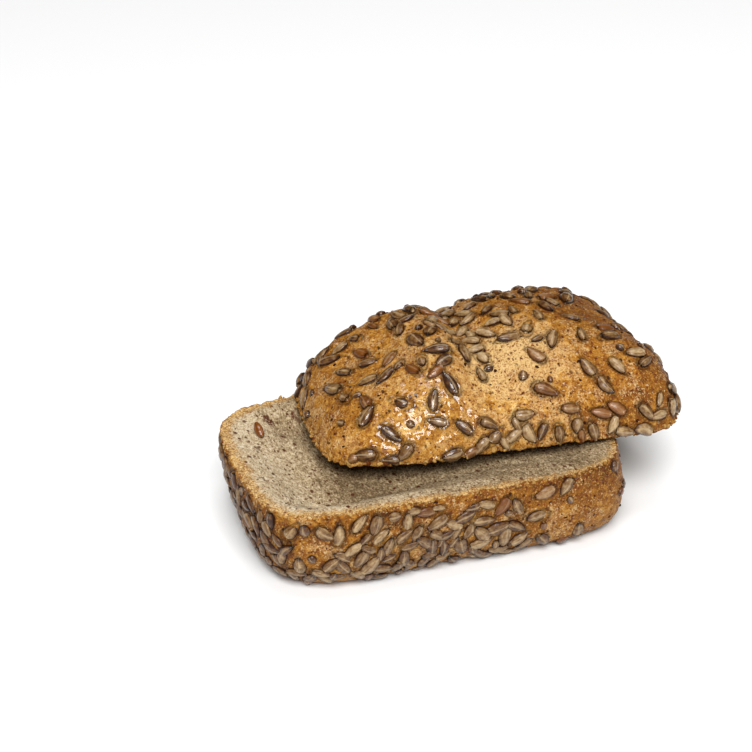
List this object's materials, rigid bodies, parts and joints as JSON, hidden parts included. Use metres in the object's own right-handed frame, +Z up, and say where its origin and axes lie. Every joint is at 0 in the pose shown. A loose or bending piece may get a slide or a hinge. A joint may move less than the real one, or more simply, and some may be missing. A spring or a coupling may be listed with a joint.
{
  "type": "wholegrain bread loaf",
  "caption": "Small wholegrain loaf with a sunflower seed crust, cut level through the middle, its domed top half resting askew on its flat-based bottom half.",
  "frame": {"origin": "middle of the bottom half's flat base, where it rests on a table", "axes": "+Z up, +X along the bottom half towards the end that the top half sticks out past, +Y towards its back"},
  "size_m": [0.1871, 0.1182, 0.0759],
  "materials": {
    "bottom_half": "golden brown seeded crust around the sides and base, greyish beige open crumb on top",
    "top_half": "golden brown glazed crust with sunflower seeds, greyish beige crumb underneath"
  },
  "bodies": {
    "root": {"bottom_half": "bottom_half", "top_half": "top_half"}
  },
  "joints": []
}
